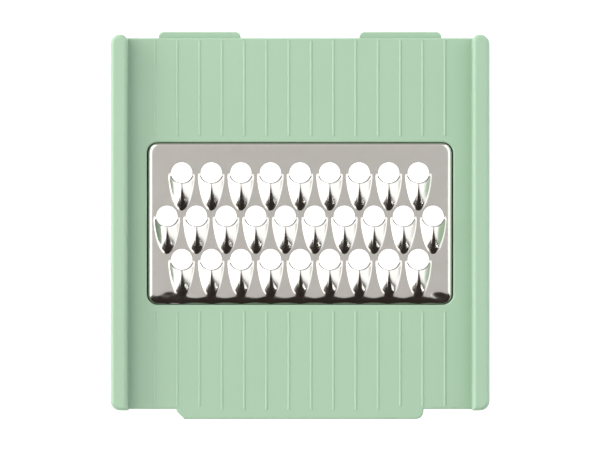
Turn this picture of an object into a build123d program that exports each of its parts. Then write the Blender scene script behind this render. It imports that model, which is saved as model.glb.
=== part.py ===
"""Coarse grating insert of a mandoline slicer.

A moulded frame with two guide rails carries a pressed steel plate with 28 domed cutting mouths.
The plate drops in from behind, and a clamp frame on heat-formed posts holds its flange.
The origin is on the resting face under the rails, in the middle of the whole footprint.
+Y is the end with the two tabs, which is where each mouth opens. +Z is the food side.
"""
import os

from build123d import *

os.makedirs("parts", exist_ok=True)

# ---- Whole insert, mm ----
width = 100.0
rail_top = 11.0
deck_top = 6.0
deck_thickness = 2.0
deck_length = 98.2
tab_reach = 1.7
tongue_reach = 2.65
deck_y = (tongue_reach - tab_reach) / 2
deck_under = deck_top - deck_thickness
deck_end = deck_length / 2
edge_round = 0.5

# ---- Guide rails ----
rail_width = 4.65
rail_wall = 1.4
rail_head = 49.9
rail_tail = 49.3
nose_inner = 2.0
nose_outer = rail_width - nose_inner
rail_round = 1.15
rail_in = width / 2 - rail_width
deck_bite = 1.1

# ---- Food ribs ----
rib_count = 14
rib_pitch = 5.9
rib_width = 0.7
rib_height = 0.17
rib_bar = (rib_width**2 / 4 + rib_height**2) / (2 * rib_height)
rib_near = 23.25
rib_far_upper = 48.4
rib_far_outer = 48.2
rib_far_inner = 49.2
short_ribs = 3

# ---- Tabs and tongue ----
tab_near = 15.7
tab_far = 37.5
tab_root = 4.0
tab_top = 4.4
tab_thickness = 1.8
tab_corner = 1.4
tab_round = 0.35
tongue_half = 32.7
tongue_corner = 2.1

# ---- Window and plate ----
window_x = 81.0
window_y = 42.95
window_shift = 0.025
window_corner = 2.8
window_round = 0.45
window_relief = 0.6
sheet = 0.5
plate_top = 6.2
tray_x = 80.4
tray_y = 42.55
tray_shift = 0.075
tray_corner = 2.3
tray_round = 1.2
flange_x = 89.0
flange_y = 50.8
flange_corner = 2.0
flange_foot = deck_under - sheet

# ---- Cutting mouths: three rows, the middle one offset by half a pitch ----
row_counts = (9, 10, 9)
row_places = (13.4, 1.95, -9.53)
mouth_pitch = 7.82
mouth_radius = 2.8
shoulder = 0.77
dome_half = 3.38
dome_height = 2.2
dome_tip = 9.85
# The dome is part of a body turned about an axis below the sheet, so it narrows as it falls.
turn_axis = (dome_half**2 - dome_height**2) / (2 * dome_height)
dome_line = ((1.9, 2.2), (4.3, 1.96), (6.9, 1.22), (8.7, 0.55))

# ---- Clamp frame and posts ----
clamp_x = 88.6
clamp_y = 50.4
clamp_thickness = 1.6
clamp_corner = 2.0
clamp_ease = 0.4
clamp_under = flange_foot - clamp_thickness
post_radius = 0.9
flange_hole = 1.15
clamp_hole = 1.0
post_head = 1.7
post_head_height = 0.8
post_head_round = 0.6
post_x = 42.4
post_y = 23.6
long_side_posts = 5
long_side_pitch = 17.0
short_side_pitch = 22.0

# ---- Stiffening behind the deck ----
stiffener = 1.2
stiffener_depth = 1.8
stiffener_count = 6
cross_wall = 26.2
end_wall = deck_end - edge_round - stiffener / 2

rib_places = [(i - (rib_count - 1) / 2) * rib_pitch for i in range(rib_count)]
mouth_places = [
    ((i - (count - 1) / 2) * mouth_pitch, place)
    for count, place in zip(row_counts, row_places)
    for i in range(count)
]


def level(height):
    """The horizontal workplane at this height, with its origin in the middle of the deck."""
    return Plane((0, deck_y, height))


def post_places():
    """The middles of the posts, around the window."""
    places = GridLocations(long_side_pitch, 2 * post_y, long_side_posts, 2).locations
    places += GridLocations(2 * post_x, short_side_pitch, 2, 2).locations
    return [place.position + Vector(0, window_shift) for place in places]


# ---- Front frame: deck, rails, ribs, tabs, tongue, stiffeners and posts in one moulding ----
with BuildPart() as front_frame:
    # Locating tabs, a step below the deck and rooted in it.
    with BuildSketch(level(tab_top - tab_thickness)) as tabs:
        with GridLocations(tab_near + tab_far, 0, 2, 1):
            with Locations((0, deck_end + tab_reach)):
                Rectangle(tab_far - tab_near, tab_root + tab_reach, align=(Align.CENTER, Align.MAX))
        fillet(tabs.vertices().group_by(Axis.Y)[-1], tab_corner)
    extrude(amount=tab_thickness)
    fillet(front_frame.faces().group_by(Axis.Z)[-1].edges(), tab_round)

    # Posts, with the heads that heat forms behind the clamp frame.
    with BuildSketch(level(clamp_under - post_head_height)):
        with Locations(*post_places()):
            Circle(post_head)
    extrude(amount=post_head_height)
    fillet(front_frame.faces().group_by(Axis.Z)[0].edges(), post_head_round)
    with BuildSketch(level(clamp_under - edge_round)):
        with Locations(*post_places()):
            Circle(post_radius)
    extrude(amount=deck_under + edge_round - clamp_under + edge_round)

    # Deck and tongue, one flush sheet.
    with BuildSketch(level(deck_under)) as deck:
        Rectangle(2 * (rail_in + deck_bite), deck_length)
        with Locations((0, -deck_end)):
            Rectangle(2 * tongue_half, 2 * tongue_reach)
        tip_corners = deck.vertices().group_by(Axis.Y)[0].sort_by(Axis.X)
        chamfer(tip_corners[0], tongue_corner)
        fillet(tip_corners[-1], tongue_corner)
    extrude(amount=deck_thickness)
    fillet(front_frame.faces().group_by(Axis.Z)[-1].edges(), edge_round)

    # Food ribs: round bars let into the deck, so that only a low crown of each stands out.
    with Locations(level(deck_top + rib_height - rib_bar)):
        for i, x in enumerate(rib_places):
            outer = i < short_ribs or i >= rib_count - short_ribs
            rib_far_lower = rib_far_outer if outer else rib_far_inner
            upper = rib_far_upper - rib_near
            lower = rib_far_lower - rib_near
            with Locations((x, rib_near + upper / 2)):
                Cylinder(rib_bar, upper, rotation=(90, 0, 0))
            with Locations((x, -rib_near - lower / 2)):
                Cylinder(rib_bar, lower, rotation=(90, 0, 0))

    # Guide rails, round-nosed at the tab end.
    with BuildSketch(level(0)) as rails:
        with BuildLine():
            inside = Line((rail_in, -rail_tail), (rail_in, rail_head - nose_inner))
            near_nose = JernArc(inside @ 1, inside % 1, nose_inner, -90)
            far_nose = JernArc(near_nose @ 1, near_nose % 1, nose_outer, -90)
            outside = Line(far_nose @ 1, (width / 2, nose_outer - rail_tail))
            heel = JernArc(outside @ 1, outside % 1, nose_outer, -90)
            Line(heel @ 1, inside @ 0)
        make_face()
        mirror(about=Plane.YZ)
    extrude(amount=rail_top)
    fillet(front_frame.faces().group_by(Axis.Z)[-1].edges(), rail_round)

    # Stiffeners behind the deck.
    with BuildSketch(level(deck_under - stiffener_depth)):
        with GridLocations(0, 2 * end_wall, 1, 2):
            Rectangle(2 * (rail_in + deck_bite), stiffener)
        with Locations((0, window_shift - cross_wall), (0, window_shift + cross_wall)):
            Rectangle(2 * (rail_in + deck_bite), stiffener)
        with GridLocations(2 * rib_pitch, end_wall + cross_wall, stiffener_count, 2):
            Rectangle(stiffener, end_wall - cross_wall)
    extrude(amount=stiffener_depth)

    # The rails are open channels from behind.
    with BuildSketch(level(0)):
        add(rails.sketch)
        offset(amount=-rail_wall, kind=Kind.INTERSECTION, mode=Mode.REPLACE)
    extrude(amount=rail_top - rail_wall, mode=Mode.SUBTRACT)

    # Window, rounded over in front and relieved behind for the bend of the plate.
    with BuildSketch(level(deck_under)):
        with Locations((0, window_shift)):
            RectangleRounded(window_x, window_y, window_corner)
    extrude(amount=deck_thickness, mode=Mode.SUBTRACT)
    window_edges = front_frame.edges(Select.LAST).group_by(Axis.Z)
    fillet(window_edges[-1], window_round)
    chamfer(window_edges[0], window_relief)
front_frame.part.label = "front_frame"


def turned_dome(inset, side):
    """The body turned under one dome, inset from its outer face, cut off below the plane at side."""
    with BuildPart() as turned:
        with BuildSketch(Plane.YZ):
            with BuildLine():
                foot = Line((-shoulder, -turn_axis), (-shoulder, dome_height - inset))
                crest = [(-along, up - inset) for along, up in dome_line]
                back = Spline(foot @ 1, *crest, (-dome_tip, -inset))
                Polyline(back @ 1, (-dome_tip, -turn_axis), foot @ 0)
            make_face()
        revolve(axis=Axis((0, 0, -turn_axis), (0, 1, 0)))
        split(bisect_by=Plane.XY.offset(side))
    return turned.part


# ---- Grating plate: shallow tray, 28 domes with their mouths, pierced flange ----
with BuildPart() as tray_hollow:
    with BuildSketch(level(flange_foot)):
        with Locations((0, tray_shift)):
            RectangleRounded(tray_x - 2 * sheet, tray_y - 2 * sheet, tray_corner - sheet)
    extrude(amount=plate_top - sheet - flange_foot)
    fillet(tray_hollow.faces().sort_by(Axis.Z)[-1].edges(), tray_round - sheet)

with BuildPart() as grating_plate:
    with BuildSketch(level(flange_foot)):
        with Locations((0, window_shift)):
            RectangleRounded(flange_x, flange_y, flange_corner)
    extrude(amount=sheet)
    with BuildSketch(level(flange_foot)):
        with Locations((0, tray_shift)):
            RectangleRounded(tray_x, tray_y, tray_corner)
    extrude(amount=plate_top - flange_foot)
    fillet(grating_plate.faces().sort_by(Axis.Z)[-1].edges(), tray_round)
    add(tray_hollow.part, mode=Mode.SUBTRACT)
    with Locations(*[(x, deck_y + y, plate_top) for x, y in mouth_places]):
        add(turned_dome(0, -sheet / 2))
        add(turned_dome(sheet, -2 * sheet), mode=Mode.SUBTRACT)
    with BuildSketch(level(plate_top - 2 * sheet)):
        with Locations(*mouth_places):
            Circle(mouth_radius)
    extrude(amount=2 * sheet + dome_height + sheet, mode=Mode.SUBTRACT)
    with BuildSketch(level(flange_foot)):
        with Locations(*post_places()):
            Circle(flange_hole)
    extrude(amount=sheet, mode=Mode.SUBTRACT)
grating_plate.part.label = "grating_plate"

# ---- Clamp frame behind the plate's flange ----
with BuildPart() as rear_frame:
    with BuildSketch(level(clamp_under)):
        with Locations((0, window_shift)):
            RectangleRounded(clamp_x, clamp_y, clamp_corner)
        with Locations((0, tray_shift)):
            RectangleRounded(tray_x - sheet, tray_y - sheet, tray_corner, mode=Mode.SUBTRACT)
    extrude(amount=clamp_thickness)
    chamfer(rear_frame.faces().sort_by(Axis.Z)[0].edges(), clamp_ease)
    with BuildSketch(level(clamp_under)):
        with Locations(*post_places()):
            Circle(clamp_hole)
    extrude(amount=clamp_thickness, mode=Mode.SUBTRACT)
rear_frame.part.label = "rear_frame"

export_step(front_frame.part, "parts/front_frame.step")
export_step(grating_plate.part, "parts/grating_plate.step")
export_step(rear_frame.part, "parts/rear_frame.step")
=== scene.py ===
# %% [markdown]
# # The coarse grating insert of a mandoline
#
# The insert is a pale green moulded frame with two guide rails. A bright pressed steel plate with
# 28 domed cutting mouths fills its window, and a clamp frame behind traps the plate's flange.
# The CAD model already holds the two mouldings to size, so they stay and get their finish here.
# The plate is made again as one formed sheet, because drawn steel flows smoothly from the flat
# into each dome, and bright metal shows every flow line.

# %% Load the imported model
from math import acos, cos, pi, radians, sin, sqrt

import bmesh
import bpy
from mathutils import Matrix, Vector


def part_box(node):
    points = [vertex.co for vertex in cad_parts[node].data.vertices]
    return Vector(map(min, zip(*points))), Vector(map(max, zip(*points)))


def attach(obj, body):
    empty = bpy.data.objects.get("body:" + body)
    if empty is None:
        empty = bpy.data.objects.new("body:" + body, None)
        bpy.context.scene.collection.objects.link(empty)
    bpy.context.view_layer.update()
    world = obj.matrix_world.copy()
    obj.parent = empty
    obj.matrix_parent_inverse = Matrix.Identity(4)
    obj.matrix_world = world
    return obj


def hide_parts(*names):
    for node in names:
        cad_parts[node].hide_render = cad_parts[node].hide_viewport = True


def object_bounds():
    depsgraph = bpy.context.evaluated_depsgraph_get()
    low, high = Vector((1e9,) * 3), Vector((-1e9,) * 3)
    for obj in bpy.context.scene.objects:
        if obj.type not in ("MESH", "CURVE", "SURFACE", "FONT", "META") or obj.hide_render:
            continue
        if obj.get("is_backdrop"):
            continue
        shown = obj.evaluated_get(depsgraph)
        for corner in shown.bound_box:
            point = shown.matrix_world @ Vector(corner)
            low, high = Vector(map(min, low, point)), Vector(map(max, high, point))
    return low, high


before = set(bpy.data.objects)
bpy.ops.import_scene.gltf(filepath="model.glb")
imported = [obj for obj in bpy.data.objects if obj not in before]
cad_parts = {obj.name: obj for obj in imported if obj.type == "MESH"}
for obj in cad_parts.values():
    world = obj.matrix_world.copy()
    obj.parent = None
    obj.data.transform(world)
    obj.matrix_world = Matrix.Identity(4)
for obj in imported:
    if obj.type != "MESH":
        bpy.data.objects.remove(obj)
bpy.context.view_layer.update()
MM = 0.001

# %% [markdown]
# ## Where the plate lies
#
# The plate's CAD node gives the box of its flange, and everything else on the plate is measured
# from that. The sheet is worked in millimetres from the middle of the flat top, with +Y towards
# the tabs, and it is brought to metres and to its place once, at the end.

# %% Read the plate's place and set out the pattern
plate_low, plate_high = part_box("grating_plate")
plate_middle = (plate_low + plate_high) / 2
FLANGE_X = (plate_high.x - plate_low.x) / 2 / MM
FLANGE_Y = (plate_high.y - plate_low.y) / 2 / MM
SHEET = 0.5
TRAY_DEPTH = 2.2
flat_top = Vector((plate_middle.x, plate_middle.y, plate_low.z + (SHEET + TRAY_DEPTH) * MM))

PITCH = 7.82
ROW_PITCH = 11.465
MIDDLE_ROW = 1.92
ROWS = ((9, MIDDLE_ROW + ROW_PITCH), (10, MIDDLE_ROW), (9, MIDDLE_ROW - ROW_PITCH))
MOUTH = 2.8
SHOULDER = 0.77
print("flat top at", [round(c / MM, 2) for c in flat_top], "mm, mouths:", sum(n for n, _ in ROWS))

# %% [markdown]
# ## The shape of one dome
#
# Behind each mouth the sheet is drawn up into half a bullet. Along the ridge it hardly falls at
# first, then ever faster to a blunt nose. Across, a narrow round crest leads into long straight
# flanks, as in a hyperbola. It could be sculpted, or kept as a turned body, but a bright dome
# shows its exact slopes. So its height is a formula of the place behind the mouth, and each slope
# is set by one number. A smooth maximum melts the dome into the flat, as a real punch's edge does.

# %% Dome height as a formula
DOME_HALF = 3.38
DOME_HEIGHT = 2.0
DOME_TIP = 9.9
OUTLINE_POWER = 1.45
RIDGE_POWER = 2.2
CREST = 0.25
PUNCH_RADIUS = 0.11
OUTLINE_MARGIN = 1.5
SLOPE_STEP = 0.01
CLOSE = 1e-4


def along(back):
    """How far from the shoulders, 0, to the tip, 1."""
    return max(back - SHOULDER, 0) / (DOME_TIP - SHOULDER)


def half_width(back):
    """Half the dome's width where it meets the sheet."""
    return DOME_HALF * sqrt(max(1 - along(back) ** OUTLINE_POWER, 0))


def section_drop(u):
    """How much of its height the dome has lost at u: 0 on the ridge, 1 at the foot."""
    return (sqrt(u**2 + CREST**2) - CREST) / (sqrt(1 + CREST**2) - CREST)


def raw_height(x, back):
    """Height of the dome alone; below zero outside its outline."""
    reach = half_width(back)
    if abs(x) >= OUTLINE_MARGIN * reach:
        return -PUNCH_RADIUS
    ridge = DOME_HEIGHT * (1 - along(back) ** RIDGE_POWER)
    return ridge * (1 - section_drop(abs(x) / reach))


def dome_height(x, back):
    """Height of the drawn sheet, with the punch radius where it leaves the flat."""
    height = raw_height(x, back)
    blend = max(PUNCH_RADIUS - abs(height), 0) / PUNCH_RADIUS
    return max(height, 0) + blend**2 * PUNCH_RADIUS / 4


def lean(x, back):
    """The way the sheet faces here, as a unit vector."""
    right, left = raw_height(x + SLOPE_STEP, back), raw_height(x - SLOPE_STEP, back)
    far, near = raw_height(x, back + SLOPE_STEP), raw_height(x, back - SLOPE_STEP)
    return Vector((left - right, far - near, 2 * SLOPE_STEP)).normalized()


print("half width at the shoulders:", round(half_width(SHOULDER), 2), "mm")

# %% [markdown]
# ## One tile of the sheet
#
# Each mouth gets a tile of sheet around it, and neighbouring tiles share their edge points. The
# rows are staggered, so the tile's lower and upper edges are waves that weave between the tip of
# one dome and the mouths of the next row. The tile grows outwards from the rim of the mouth by
# extruding the loop of edges: first to the outline of the dome, then to the edge of the tile.
# That puts an edge of the mesh along every line where the shape turns.

# %% Outlines that a tile grows through
SIDE_BACK = 16
SIDE_FRONT = 4
ACROSS = 16
RIM_BACK = 2 * SIDE_BACK + ACROSS
RIM_FRONT = 2 * SIDE_FRONT + ACROSS
WAVE_MIDDLE = 9.2
WAVE_SWING = 1.05
TURN_WEIGHT = 1.5
OUTLINE_SAMPLES = 200
half_tile = PITCH / 2


def wave(x):
    """The tile's lower edge, from the middle of its mouth."""
    return -WAVE_MIDDLE - WAVE_SWING * cos(2 * pi * x / PITCH)


def upper_wave(x):
    """The tile's upper edge, which is the lower edge of the row above."""
    return wave(x + half_tile) + ROW_PITCH


def spread(start, end, steps):
    """Evenly spaced numbers from start up to, but without, end."""
    return [start + (end - start) * i / steps for i in range(steps)]


def tile_edge():
    """The tile's edge, clockwise from beside the right shoulder."""
    down = spread(-SHOULDER, wave(half_tile), SIDE_BACK)
    climb = spread(wave(half_tile), -SHOULDER, SIDE_BACK)
    rise = spread(-SHOULDER, upper_wave(half_tile), SIDE_FRONT)
    drop = spread(upper_wave(half_tile), -SHOULDER, SIDE_FRONT)
    return (
        [Vector((half_tile, y)) for y in down]
        + [Vector((x, wave(x))) for x in spread(half_tile, -half_tile, ACROSS)]
        + [Vector((-half_tile, y)) for y in climb + rise]
        + [Vector((x, upper_wave(x))) for x in spread(-half_tile, half_tile, ACROSS)]
        + [Vector((half_tile, y)) for y in drop]
    )


def dome_outline(steps):
    """Points along the foot of the dome, from the right shoulder to the left, closer at the tip."""
    to_tip = [(1 - i / OUTLINE_SAMPLES) ** 2 for i in range(OUTLINE_SAMPLES + 1)]
    fine = [DOME_TIP + (SHOULDER - DOME_TIP) * share for share in to_tip]
    right = [Vector((half_width(back), -back)) for back in fine]
    path = right + [Vector((-p.x, p.y)) for p in reversed(right[:-1])]
    lengths, last = [0.0], path[1] - path[0]
    for a, b in zip(path, path[1:]):
        lengths.append(lengths[-1] + (b - a).length + TURN_WEIGHT * last.angle(b - a))
        last = b - a
    points, at = [], 0
    for i in range(steps + 1):
        goal = lengths[-1] * i / steps
        while at < len(path) - 2 and lengths[at + 1] < goal:
            at += 1
        share = (goal - lengths[at]) / (lengths[at + 1] - lengths[at])
        points.append(path[at].lerp(path[at + 1], share))
    return points


shoulder_x = sqrt(MOUTH**2 - SHOULDER**2)
print("tile corners share", len(tile_edge()), "points with their neighbours")

# %% [markdown]
# The rim starts as a single point that bmesh's spin sweeps round the mouth, more finely along the
# cutting half. Each ring after that is an extrusion of the last, and the first is a narrow lip,
# where the punch has sheared the sheet. On the cutting half the rim starts a little outside the
# mouth and forward of it, so that the hole is round where the thick sheet leans. At the shoulders
# the sheet is sheared too, so the mesh is split there along the line from the mouth to the dome's
# corner, and only the side with the dome is raised.

# %% Grow a tile
DOME_RINGS = 13
DOME_RING_BIAS = 1.25
FLAT_RINGS = 4
FLAT_RING_BIAS = 1.4
LIP = 0.15
LIP_FORWARD = 0.15
BRIGHT, SHEARED = 0, 1


def grow(bm, loop, corners):
    """Extrudes a loop of edges. corners maps each loop vertex to its number, new ones included."""
    made = bmesh.ops.extrude_edge_only(bm, edges=loop)["geom"]
    fresh = dict.fromkeys(g for g in made if isinstance(g, bmesh.types.BMVert))
    for v in fresh:
        origin = next(e.other_vert(v) for e in v.link_edges if e.other_vert(v) not in fresh)
        corners[v] = corners[origin]
    new_loop = dict.fromkeys(e for v in fresh for e in v.link_edges if e.other_vert(v) in fresh)
    return list(fresh), list(new_loop)


def make_tile():
    """One mouth, its dome and the sheet around it, as a bmesh in mm."""
    bm = bmesh.new()
    start = bm.verts.new((shoulder_x, -SHOULDER, 0))
    back_turn = 2 * acos(SHOULDER / MOUTH)
    end = bmesh.ops.spin(
        bm, geom=[start], axis=(0, 0, 1), cent=(0, 0, 0), angle=-back_turn, steps=RIM_BACK
    )["geom_last"]
    front_turn = (2 * pi - back_turn) * (RIM_FRONT - 1) / RIM_FRONT
    bmesh.ops.spin(
        bm, geom=end[:1], axis=(0, 0, 1), cent=(0, 0, 0), angle=-front_turn, steps=RIM_FRONT - 1
    )
    rim = list(bm.verts)
    bm.edges.new((rim[-1], rim[0]))
    count = RIM_BACK + RIM_FRONT
    edge = tile_edge()
    foot = dome_outline(RIM_BACK)
    share = (foot[0].x - shoulder_x) / (half_tile - shoulder_x)
    foot += [rim[i].co.xy.lerp(edge[i], share) for i in range(RIM_BACK + 1, count)]
    mouth = [v.co.xy.copy() for v in rim]
    for i in range(RIM_BACK + 1):
        x, y = mouth[i]
        forward = Vector((0, LIP_FORWARD * raw_height(x, -y) / DOME_HEIGHT))
        mouth[i] = rim[i].co.xy = mouth[i] + SHEET * lean(x, -y).xy + forward

    number = {v: i for i, v in enumerate(rim)}
    loop = list(bm.edges)
    lip = [inner + LIP * (outer - inner).normalized() for inner, outer in zip(mouth, foot)]
    dome_parts = [1 - (1 - (i + 1) / DOME_RINGS) ** DOME_RING_BIAS for i in range(DOME_RINGS)]
    flat_parts = [((i + 1) / FLAT_RINGS) ** FLAT_RING_BIAS for i in range(FLAT_RINGS)]
    rings = [(mouth, lip, 1)]
    rings += [(lip, foot, part) for part in dome_parts]
    rings += [(foot, edge, part) for part in flat_parts]
    for inner, outer, part in rings:
        fresh, loop = grow(bm, loop, number)
        for v in fresh:
            v.co.xy = inner[number[v]].lerp(outer[number[v]], part)

    shears = [
        e
        for e in bm.edges
        if all(abs(v.co.y + SHOULDER) < CLOSE and abs(v.co.x) < DOME_HALF + CLOSE for v in e.verts)
    ]
    bmesh.ops.split_edges(bm, edges=shears)
    cutting = {point.to_tuple(4) for point in mouth[: RIM_BACK + 1]}
    edge_points = {v for v in bm.verts if v.co.xy.to_tuple(4) in cutting}
    for v in bm.verts:
        behind = min(f.calc_center_median().y for f in v.link_faces) < -SHOULDER
        if behind:
            v.co.z = dome_height(v.co.x, max(-v.co.y, SHOULDER))
    for f in bm.faces:
        on_rim = sum(v in edge_points for v in f.verts)
        f.material_index = SHEARED if on_rim == 2 else BRIGHT
    return bm


tile = make_tile()
tile_mesh = bpy.data.meshes.new("tile")
tile.to_mesh(tile_mesh)
print("one tile:", len(tile.verts), "points,", len(tile.faces), "faces")

# %% [markdown]
# ## The whole sheet
#
# The tiles are laid out in three rows. Flat grids fill the half places at the ends of the outer
# rows and the strips above and below the pattern. All of them meet at shared points, so one
# remove_doubles joins them into a single sheet.

# %% Lay out the tiles and the flat grids
FLAT_X = PITCH * 5
FLAT_LOW = -20.12
FLAT_HIGH = 20.22
STRIP_RINGS = 5
half_across = ACROSS // 2


def fill_between(bm, xs, bottoms, tops, shares):
    """A flat grid whose columns stand at xs and run from bottoms to tops, divided at shares."""
    columns, rows = len(xs), len(shares)
    made = bmesh.ops.create_grid(bm, x_segments=columns - 1, y_segments=rows - 1, size=1)["verts"]
    for v in made:
        i = round((v.co.x + 1) / 2 * (columns - 1))
        j = round((v.co.y + 1) / 2 * (rows - 1))
        v.co = (xs[i], bottoms[i] + (tops[i] - bottoms[i]) * shares[j], 0)


sheet = bmesh.new()
for count, row_y in ROWS:
    for i in range(count):
        x = (i - (count - 1) / 2) * PITCH
        tile_mesh.transform(Matrix.Translation((x, row_y, 0)))
        sheet.from_mesh(tile_mesh)
        tile_mesh.transform(Matrix.Translation((-x, -row_y, 0)))

side = spread(wave(half_tile), -SHOULDER, SIDE_BACK)
side += spread(-SHOULDER, upper_wave(half_tile), SIDE_FRONT) + [upper_wave(half_tile)]
side_shares = [(y - side[0]) / (side[-1] - side[0]) for y in side]
for row_y in (ROWS[0][1], ROWS[2][1]):
    for end in (-1, 1):
        xs = [end * (FLAT_X - half_tile * (1 - i / half_across)) for i in range(half_across + 1)]
        xs.sort()
        lows = [row_y + wave(x - FLAT_X) for x in xs]
        highs = [row_y + upper_wave(x - FLAT_X) for x in xs]
        fill_between(sheet, xs, lows, highs, side_shares)

xs = [-FLAT_X + PITCH / ACROSS * i for i in range(10 * ACROSS + 1)]
shares = [i / STRIP_RINGS for i in range(STRIP_RINGS + 1)]
tops = [ROWS[0][1] + upper_wave(x) for x in xs]
fill_between(sheet, xs, tops, [FLAT_HIGH] * len(xs), shares)
lows = [ROWS[2][1] + wave(x) for x in xs]
fill_between(sheet, xs, [FLAT_LOW] * len(xs), lows, shares)
bmesh.ops.remove_doubles(sheet, verts=sheet.verts, dist=0.01)
print("sheet:", len(sheet.verts), "points,", len(sheet.faces), "faces")

# %% [markdown]
# ## The rolled edge, the wall and the flange
#
# The flat's corners are rounded by a map that turns square rings into round ones, so that no face
# folds over. The plate's outer loop is then extruded step by step: over the rolled edge, down the
# wall, round the foot bend and out to the flange. Pressing also leaves the flat a little slack:
# it dips towards the front edge, most of all under the tips of the domes and in the two front
# corners. The roll takes over the slope that the dip has at the edge, so no line shows there.

# %% Round the corners and let the flat dip
FLAT_CORNER = 1.4
DIP_REACH = 1.3
DIP_DEPTH = 0.22
DIP_SWING = 0.55
CORNER_DIPS = ((-34.5, -19.9, 3.6, 0.32), (36.8, -19.6, 2.8, 0.3))
CORNER_DIP_SQUASH = 1.6


def corner_middle(x, y):
    """The nearest point of the rectangle on which the flat's corner arcs are centred."""
    cx = min(max(x, FLAT_CORNER - FLAT_X), FLAT_X - FLAT_CORNER)
    cy = min(max(y, FLAT_LOW + FLAT_CORNER), FLAT_HIGH - FLAT_CORNER)
    return Vector((cx, cy))


def dip(x, y):
    """How far the pressed flat has sunk here."""
    reach = DIP_REACH * (1 + DIP_SWING * cos(2 * pi * x / PITCH))
    near = max(1 - (y - FLAT_LOW) / reach, 0)
    sunk = DIP_DEPTH * reach / DIP_REACH * near**2
    for cx, cy, radius, deep in CORNER_DIPS:
        away = ((x - cx) ** 2 + ((y - cy) * CORNER_DIP_SQUASH) ** 2) / radius**2
        sunk += deep * max(1 - away, 0) ** 2
    return sunk


def dip_slope(place, out):
    """How steeply the dip falls here, going outwards."""
    return (dip(*(place + SLOPE_STEP * out)) - dip(*place)) / SLOPE_STEP


outline = set()
for v in sheet.verts:
    middle = corner_middle(v.co.x, v.co.y)
    out = v.co.xy - middle
    if out.x and out.y:
        out *= max(abs(out.x), abs(out.y)) / out.length
        v.co.xy = middle + out
    if abs(out.length - FLAT_CORNER) < CLOSE:
        outline.add(v)
    v.co.z -= dip(v.co.x, v.co.y)
print("outline of the flat:", len(outline), "points")

# %% Extrude the roll, the wall and the foot bend
ROLL_ACROSS = 1.1
ROLL_DEPTH = 0.75
ROLL_STEPS = 7
FOOT_BEND = 0.35
FOOT_STEPS = 4

loop = [e for e in sheet.edges if e.is_boundary and all(v in outline for v in e.verts)]
ordered = list(dict.fromkeys(v for e in loop for v in e.verts))
number = {v: i for i, v in enumerate(ordered)}
starts = [v.co.copy() for v in ordered]
outs = [(v.co.xy - corner_middle(v.co.x, v.co.y)).normalized() for v in ordered]
slopes = [dip_slope(v.co.xy, out) for v, out in zip(ordered, outs)]


def roll_profile():
    """For each ring after the flat: how far out, how far down, and how much of the dip is left."""
    for i in range(ROLL_STEPS):
        turn = pi / 2 * (i + 1) / ROLL_STEPS
        yield ROLL_ACROSS * sin(turn), ROLL_DEPTH * (1 - cos(turn)), cos(turn)
    for i in range(FOOT_STEPS + 1):
        turn = pi / 2 * i / FOOT_STEPS
        down = TRAY_DEPTH - FOOT_BEND * (1 - sin(turn))
        yield ROLL_ACROSS + FOOT_BEND * (1 - cos(turn)), down, 0


for across, down, keep in roll_profile():
    fresh, loop = grow(sheet, loop, number)
    for v in fresh:
        i = number[v]
        v.co.xy = starts[i].xy + outs[i] * across
        v.co.z = (starts[i].z - slopes[i] * across) * keep - down
print("tray wall done,", len(loop), "edges round the foot")

# %% [markdown]
# The flange is flat, so a fill is enough: it spans between the foot of the tray, the outer
# outline and the holes for the posts.

# %% Fill the flange round the post holes
FLANGE_CORNER = 2.0
POST_HOLE = 1.15
HOLE_POINTS = 20
POST_X = 42.4
POST_Y = 23.6
LONG_PITCH = 17.0
SHORT_PITCH = 22.0
posts = [(i * LONG_PITCH, side * POST_Y) for i in (-2, -1, 0, 1, 2) for side in (-1, 1)]
posts += [(end * POST_X, side * SHORT_PITCH / 2) for end in (-1, 1) for side in (-1, 1)]

rim = bmesh.ops.create_grid(sheet, x_segments=1, y_segments=1, size=1)["verts"]
bmesh.ops.scale(sheet, vec=(FLANGE_X, FLANGE_Y, 1), verts=rim)
bmesh.ops.translate(sheet, vec=(0, 0, -TRAY_DEPTH), verts=rim)
corners = bmesh.ops.bevel(
    sheet,
    geom=rim,
    offset=FLANGE_CORNER,
    offset_type="OFFSET",
    affect="VERTICES",
    segments=6,
    profile=0.5,
    material=-1,
)
panel = max(sheet.faces, key=lambda f: f.calc_area())
bounds_of_fill = list(panel.edges)
bmesh.ops.delete(sheet, geom=[panel], context="FACES_ONLY")
for x, y in posts:
    place = Matrix.Translation((x, y, -TRAY_DEPTH))
    made = bmesh.ops.create_circle(sheet, segments=HOLE_POINTS, radius=POST_HOLE, matrix=place)
    bounds_of_fill += list(dict.fromkeys(e for v in made["verts"] for e in v.link_edges))
bmesh.ops.triangle_fill(sheet, use_beauty=True, edges=loop + bounds_of_fill, normal=(0, 0, 1))
print("flange filled:", len(sheet.faces), "faces")

# %% [markdown]
# Last, the sheet gets its thickness on the underside and is brought to metres and to its place.
# Its cut edges are marked sharp, so that the bright faces end cleanly at them.

# %% Thicken the sheet and place it
CUT_ANGLE = radians(38)


def add_piece(bm, name, finishes, place):
    """Makes a piece of a bmesh in mm: place is its own zero point in the object's frame."""
    bmesh.ops.transform(bm, matrix=Matrix.Translation(place) @ Matrix.Scale(MM, 4), verts=bm.verts)
    mesh = bpy.data.meshes.new(name)
    bm.to_mesh(mesh)
    bm.free()
    mesh.shade_smooth()
    mesh.set_sharp_from_angle(angle=CUT_ANGLE)
    piece = bpy.data.objects.new(name, mesh)
    bpy.context.scene.collection.objects.link(piece)
    for finish in finishes:
        mesh.materials.append(finish)
    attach(piece, "root")
    return piece


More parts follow.
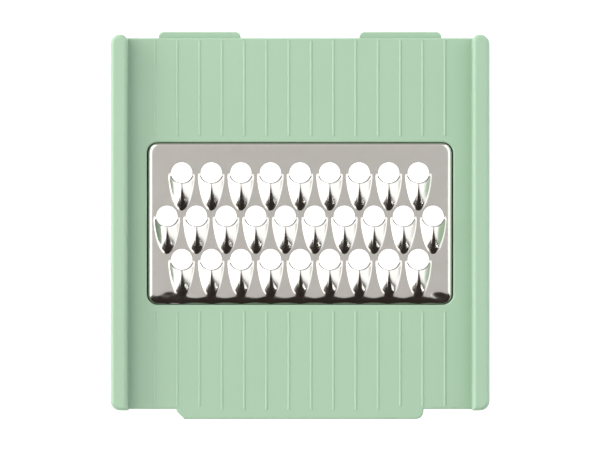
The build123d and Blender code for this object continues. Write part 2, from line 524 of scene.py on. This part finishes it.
bmesh.ops.recalc_face_normals(sheet, faces=sheet.faces)
if sum(f.normal.z * f.calc_area() for f in sheet.faces) < 0:
    bmesh.ops.reverse_faces(sheet, faces=sheet.faces)
bmesh.ops.solidify(sheet, geom=sheet.faces[:], thickness=SHEET)
print("thick sheet:", len(sheet.faces), "faces, closed:", all(e.is_manifold for e in sheet.edges))

# %% [markdown]
# ## Finishes
#
# Each finish is a small node tree. A socket is wrapped so that Python's own operators add the
# Math nodes, and one method adds every other node. Everything reads Object coordinates, which on
# these pieces are the insert's own metres.

# %% A small language for shaders


class Wire:
    """An output socket. +, - and * with a number or another wire add a Math node."""

    def __init__(self, nodes, socket):
        self.nodes = nodes
        self.socket = socket

    def math(self, operation, first, second):
        return self.nodes.node("ShaderNodeMath", {"operation": operation}, {0: first, 1: second})

    def __add__(self, other):
        return self.math("ADD", self, other)

    def __radd__(self, other):
        return self.math("ADD", other, self)

    def __sub__(self, other):
        return self.math("SUBTRACT", self, other)

    def __rsub__(self, other):
        return self.math("SUBTRACT", other, self)

    def __mul__(self, other):
        return self.math("MULTIPLY", self, other)

    def __rmul__(self, other):
        return self.math("MULTIPLY", other, self)


class Nodes:
    """A node tree, and the one way in which nodes are added to it."""

    def __init__(self, tree):
        self.tree = tree

    def node(self, kind, settings=None, values=None, output=0):
        """Adds a node: settings are its own properties, values go to its sockets."""
        made = self.tree.nodes.new(kind)
        for key, value in (settings or {}).items():
            setattr(made, key, value)
        for key, value in (values or {}).items():
            self.put(made.inputs[key], value)
        return Wire(self, made.outputs[output])

    def put(self, socket, value):
        if isinstance(value, Wire):
            self.tree.links.new(value.socket, socket)
        else:
            socket.default_value = value


class Finish(Nodes):
    """A material under construction."""

    def __init__(self, name):
        self.material = bpy.data.materials.new(name)
        self.material.use_nodes = True
        super().__init__(self.material.node_tree)
        self.surface = self.tree.nodes["Principled BSDF"]

    def set(self, **values):
        """Sets sockets of the surface shader; underscores stand for spaces."""
        for key, value in values.items():
            self.put(self.surface.inputs[key.replace("_", " ")], value)

    def grain(self, size, detail=2.0, stretch=(1, 1, 1), roughness=0.5):
        """Noise with features of about this size in metres, squeezed by stretch."""
        place = self.node("ShaderNodeTexCoord", output="Object")
        bent = self.node("ShaderNodeMapping", values={"Vector": place, "Scale": stretch})
        values = {"Vector": bent, "Scale": 1 / size, "Detail": detail, "Roughness": roughness}
        return self.node("ShaderNodeTexNoise", values=values)

    def blend(self, factor, dark, light):
        """A colour between two others."""
        settings = {"data_type": "RGBA"}
        values = {0: factor, 6: (*dark, 1), 7: (*light, 1)}
        return self.node("ShaderNodeMix", settings, values, output=2)

    def bump(self, height, distance, strength=1.0, normal=None):
        values = {"Height": height, "Distance": distance, "Strength": strength}
        if normal:
            values["Normal"] = normal
        return self.node("ShaderNodeBump", values=values)


print("shader helpers ready")

# %% [markdown]
# ### Moulded plastic
#
# The frame is satin ABS. The tool's spark-eroded surface leaves a very fine grain, the melt leaves
# slow waves, and the pigment is never perfectly even. All of it is faint: seen whole, the frame is
# one calm colour.

# %% The green moulding
GREEN = (0.279, 0.413, 0.29)
GREEN_LIGHT = (0.293, 0.431, 0.305)


def moulded(name, dark, light):
    """Satin moulded plastic between two close tones."""
    finish = Finish(name)
    cloud = finish.grain(18 * MM)
    speck = finish.grain(0.22 * MM, detail=1.0)
    flow = finish.grain(7 * MM)
    texture = finish.bump(speck, 0.004 * MM, strength=0.7)
    finish.set(
        Base_Color=finish.blend(cloud * 0.8 + speck * 0.2, dark, light),
        Roughness=0.3 + 0.08 * cloud + 0.06 * speck,
        Normal=finish.bump(flow, 0.012 * MM, normal=texture),
        IOR=1.52,
    )
    return finish.material


green = moulded("green_moulding", GREEN, GREEN_LIGHT)
clamp_green = moulded("clamp_moulding", GREEN, GREEN_LIGHT)
for node, material in (("front_frame", green), ("rear_frame", clamp_green)):
    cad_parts[node].material_slots[0].material = material
print("mouldings finished")

# %% [markdown]
# ### Bright rolled steel
#
# The plate is stainless sheet with a bright finish. It mirrors the studio, so its look is mostly
# its shape. Rolling leaves a faint grain along the strip, and the surface is never quite flat.

# %% The pressed steel
STEEL = (0.63, 0.603, 0.565)
STEEL_LIGHT = (0.67, 0.643, 0.603)
steel = Finish("pressed_steel")
strip = steel.grain(0.12 * MM, detail=3.0, stretch=(1, 0.04, 1))
slack = steel.grain(6 * MM, detail=1.0)
smear = steel.grain(3 * MM)
steel.set(
    Base_Color=steel.blend(smear, STEEL, STEEL_LIGHT),
    Metallic=1.0,
    Roughness=0.12 + 0.05 * strip + 0.04 * smear,
    Normal=steel.bump(slack, 0.01 * MM, normal=steel.bump(strip, 0.0006 * MM)),
)
print("steel finished")

# %% [markdown]
# ### The sheared edge
#
# Where the punch shears the sheet, the metal tears for the last part of its thickness. That edge
# is matt and grey, and it draws a thin line round the cutting half of each mouth.

# %% The cut edges, and the plate in its place
TORN_DARK = (0.2, 0.195, 0.19)
TORN_LIGHT = (0.3, 0.29, 0.28)
edge = Finish("sheared_edge")
tear = edge.grain(0.15 * MM)
edge.set(
    Base_Color=edge.blend(tear, TORN_DARK, TORN_LIGHT),
    Metallic=1.0,
    Roughness=0.45 + 0.15 * tear,
    Normal=edge.bump(tear, 0.01 * MM),
)
plate = add_piece(sheet, "formed_plate", (steel.material, edge.material), flat_top)
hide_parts("grating_plate")
print("plate:", len(plate.data.polygons), "faces")

# %% [markdown]
# ## The studio
#
# The insert lies face up on a white light table, so the mouths look white. Bright metal shows the
# room around it, and the room is set out for that. Two soft lights on the left and one on the
# right whiten the flanks of the domes, and the gap between them leaves each crest dark. A weak
# light overhead is the grey of the flat, and a card behind lights the edges that face the tabs.
# Nothing stands in front but a fill for the moulding, which the metal doesn't mirror, so the noses
# of the domes go dark. One small lamp on the right gives each of them its bright spot.

# %% Light table, lights and cards
TABLE = 3.0
ROOM_AXIS = 0.26


def lamp(name, place, aim, width, height, radiance, tint=(1, 1, 1), mirrored=True):
    """A soft light of this brightness, facing aim, that the camera itself doesn't see."""
    data = bpy.data.lights.new(name, "AREA")
    data.shape = "RECTANGLE"
    data.size, data.size_y = width, height
    data.energy = radiance * pi * width * height
    data.color = tint
    made = bpy.data.objects.new(name, data)
    made.location = place
    made.rotation_euler = (Vector(place) - Vector(aim)).to_track_quat("Z", "Y").to_euler()
    made.visible_camera = False
    made.visible_glossy = mirrored
    bpy.context.scene.collection.objects.link(made)
    return made


lamp("left_box", (-0.34, ROOM_AXIS, 0.85), (0.5, ROOM_AXIS, 0.6), 1.28, 0.83, 2.2, (1, 0.99, 0.97))
lamp("left_wall", (-0.62, 0.25, 0.27), (0, 0.25, 0.15), 1.1, 0.46, 4.5)
lamp("right_box", (0.41, 0.34, 0.65), (-0.5, 0.34, 0.36), 1.12, 1.26, 1.7, (0.95, 0.975, 1))
lamp("overhead", (0, ROOM_AXIS, 1.3), (0, ROOM_AXIS, 0), 0.4, 1.3, 0.67)
lamp("far_card", (0, 0.9, 0.6), (0, 0, 0.3), 1.2, 1.2, 0.6)
lamp("front_fill", (0, -0.35, 0.3), (0, 0, 0), 0.5, 0.2, 1.8, mirrored=False)
lamp("small_light", (0.52, -0.3, 0.265), (0, 0, 0), 0.03, 0.03, 12.0)

table = bmesh.new()
bmesh.ops.create_grid(table, x_segments=1, y_segments=1, size=TABLE / 2)
table_mesh = bpy.data.meshes.new("light_table")
table.to_mesh(table_mesh)
table.free()
floor = bpy.data.objects.new("light_table", table_mesh)
bpy.context.scene.collection.objects.link(floor)
white = Finish("light_table")
white.set(
    Base_Color=(0.5, 0.5, 0.5, 1),
    Roughness=0.6,
    Emission_Color=(1, 1, 1, 1),
    Emission_Strength=0.95,
)
glow = Wire(white, white.surface.outputs[0])
clear = white.node("ShaderNodeBsdfTransparent")
from_below = white.node("ShaderNodeNewGeometry", output="Backfacing")
one_sided = white.node("ShaderNodeMixShader", values={0: from_below, 1: glow, 2: clear})
white.put(white.tree.nodes["Material Output"].inputs["Surface"], one_sided)
table_mesh.materials.append(white.material)
floor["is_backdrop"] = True
print("light table:", TABLE, "m square, clear from below")

# %% [markdown]
# The room itself is nearly black with a warm tone, which is what the dark parts of the metal
# mirror. The camera sees a pale backdrop instead of it.

# %% The dark room and its pale backdrop
world = bpy.data.worlds.new("studio")
world.use_nodes = True
bpy.context.scene.world = world
room = Nodes(world.node_tree)
seen = room.node("ShaderNodeLightPath", output="Is Camera Ray")
dim = room.node("ShaderNodeBackground", values={"Color": (1, 0.75, 0.62, 1), "Strength": 0.03})
pale = room.node("ShaderNodeBackground", values={"Color": (0.93, 0.93, 0.93, 1)})
backdrop = room.node("ShaderNodeMixShader", values={0: seen, 1: dim, 2: pale})
room.put(room.tree.nodes["World Output"].inputs["Surface"], backdrop)
bpy.context.scene.view_settings.view_transform = "Standard"

# %% [markdown]
# ## The camera
#
# The view is straight down with a long lens, so the rails hardly hide anything.

# %% Look straight down
VIEW_WIDTH = 157.9 * MM
CAMERA_ABOVE = 1.0
AIM_OFFSET = 0.105 * MM
camera_data = bpy.data.cameras.new("camera")
camera = bpy.data.objects.new("camera", camera_data)
bpy.context.scene.collection.objects.link(camera)
bpy.context.scene.camera = camera
low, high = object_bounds()
middle = (low + high) / 2
camera.location = (middle.x, middle.y + AIM_OFFSET, high.z + CAMERA_ABOVE)
camera_data.lens = camera_data.sensor_width * CAMERA_ABOVE / VIEW_WIDTH
camera_data.clip_end = 10
print("lens:", round(camera_data.lens), "mm")

# %% Print the size of what is shown
low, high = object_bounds()
print("visual box in mm:", [round(side / MM, 2) for side in high - low])
